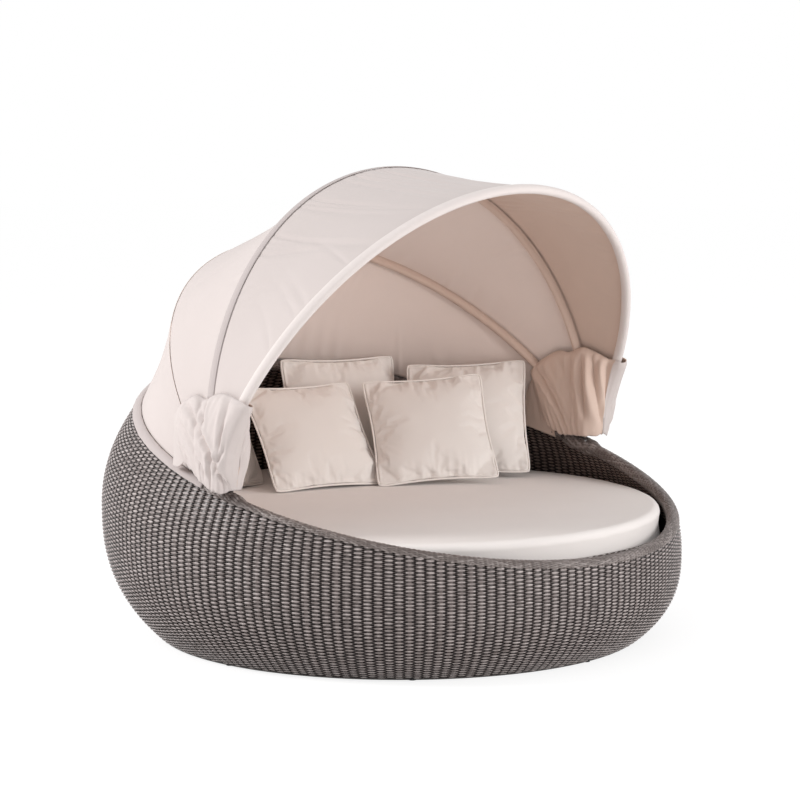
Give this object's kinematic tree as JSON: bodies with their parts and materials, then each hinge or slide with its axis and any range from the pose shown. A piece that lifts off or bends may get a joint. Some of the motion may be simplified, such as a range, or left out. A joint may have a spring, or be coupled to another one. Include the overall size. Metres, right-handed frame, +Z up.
{
  "type": "outdoor daybed with canopy",
  "caption": "Round woven daybed with a cushioned seat, loose pillows and a folding cloth canopy on hinged hoops.",
  "frame": {"origin": "on the floor at the centre of the base, under the centre foot", "axes": "+Z up, -Y towards the low open front, +X to the right of someone who faces the front from outside"},
  "size_m": [1.8508, 1.8456, 1.468],
  "materials": {
    "wicker": "satin",
    "wicker_inner": "satin",
    "rubber": "matte",
    "deck_wood": "matte",
    "frame": "satin",
    "mattress_cloth": "matte",
    "pillow_cloth": "matte",
    "tape": "matte",
    "hoop": "satin",
    "hardware": "satin",
    "canopy_cloth": "matte"
  },
  "bodies": {
    "root": {"outer_weave": "wicker", "inner_weave": "wicker_inner", "rim_tube": "frame", "rim_braid": "wicker", "base_ring": "frame", "foot_glide_1": "rubber", "foot_glide_2": "rubber", "foot_glide_3": "rubber", "foot_glide_4": "rubber", "foot_glide_5": "rubber", "foot_glide_6": "rubber", "foot_glide_7": "rubber", "foot_glide_8": "rubber", "frame_rib_1": "frame", "frame_rib_2": "frame", "frame_rib_3": "frame", "frame_rib_4": "frame", "frame_rib_5": "frame", "frame_rib_6": "frame", "frame_rib_7": "frame", "frame_rib_8": "frame", "seat_ring": "frame", "deck_grid": "deck_wood", "centre_foot": "frame", "mattress": "mattress_cloth", "pillow_left": "pillow_cloth", "pillow_back_left": "pillow_cloth", "pillow_back_right": "pillow_cloth", "pillow_front_left": "pillow_cloth", "pillow_front_right": "pillow_cloth", "rear_hem_band": "canopy_cloth", "hem_tape": "tape", "pivot_bracket_left": "hardware", "bracket_screw_left_1": "hardware", "bracket_screw_left_2": "hardware", "pivot_bolt_left": "hardware", "pivot_nut_left": "hardware", "skirt_left_outer": "canopy_cloth", "skirt_left_inner": "canopy_cloth", "pivot_bracket_right": "hardware", "bracket_screw_right_1": "hardware", "bracket_screw_right_2": "hardware", "pivot_bolt_right": "hardware", "pivot_nut_right": "hardware", "skirt_right_outer": "canopy_cloth", "skirt_right_inner": "canopy_cloth"},
    "rear_hoop": {"rear_hoop": "hoop", "rear_pocket": "canopy_cloth", "rear_panel": "canopy_cloth"},
    "mid_hoop": {"mid_hoop": "hoop", "mid_pocket": "canopy_cloth", "mid_panel": "canopy_cloth"},
    "front_hoop": {"front_hoop": "hoop", "front_sleeve": "canopy_cloth", "front_panel": "canopy_cloth"}
  },
  "joints": [
    {"name": "rear_hoop_hinge", "type": "hinge", "parent": "root", "child": "rear_hoop", "pos_m": [0, -0.076, 0.583], "axis": [-1, 0, 0], "range_deg": [0, 26.5], "deforming": ["rear_panel", "skirt_left_outer", "skirt_left_inner", "skirt_right_outer", "skirt_right_inner"]},
    {"name": "mid_hoop_hinge", "type": "hinge", "parent": "rear_hoop", "child": "mid_hoop", "pos_m": [0, -0.076, 0.583], "axis": [-1, 0, 0], "range_deg": [0, 31.4], "deforming": ["mid_panel", "skirt_left_outer", "skirt_left_inner", "skirt_right_outer", "skirt_right_inner"]},
    {"name": "front_hoop_hinge", "type": "hinge", "parent": "mid_hoop", "child": "front_hoop", "pos_m": [0, -0.076, 0.583], "axis": [-1, 0, 0], "range_deg": [0, 26.8], "deforming": ["front_panel", "skirt_left_outer", "skirt_left_inner", "skirt_right_outer", "skirt_right_inner"]}
  ]
}
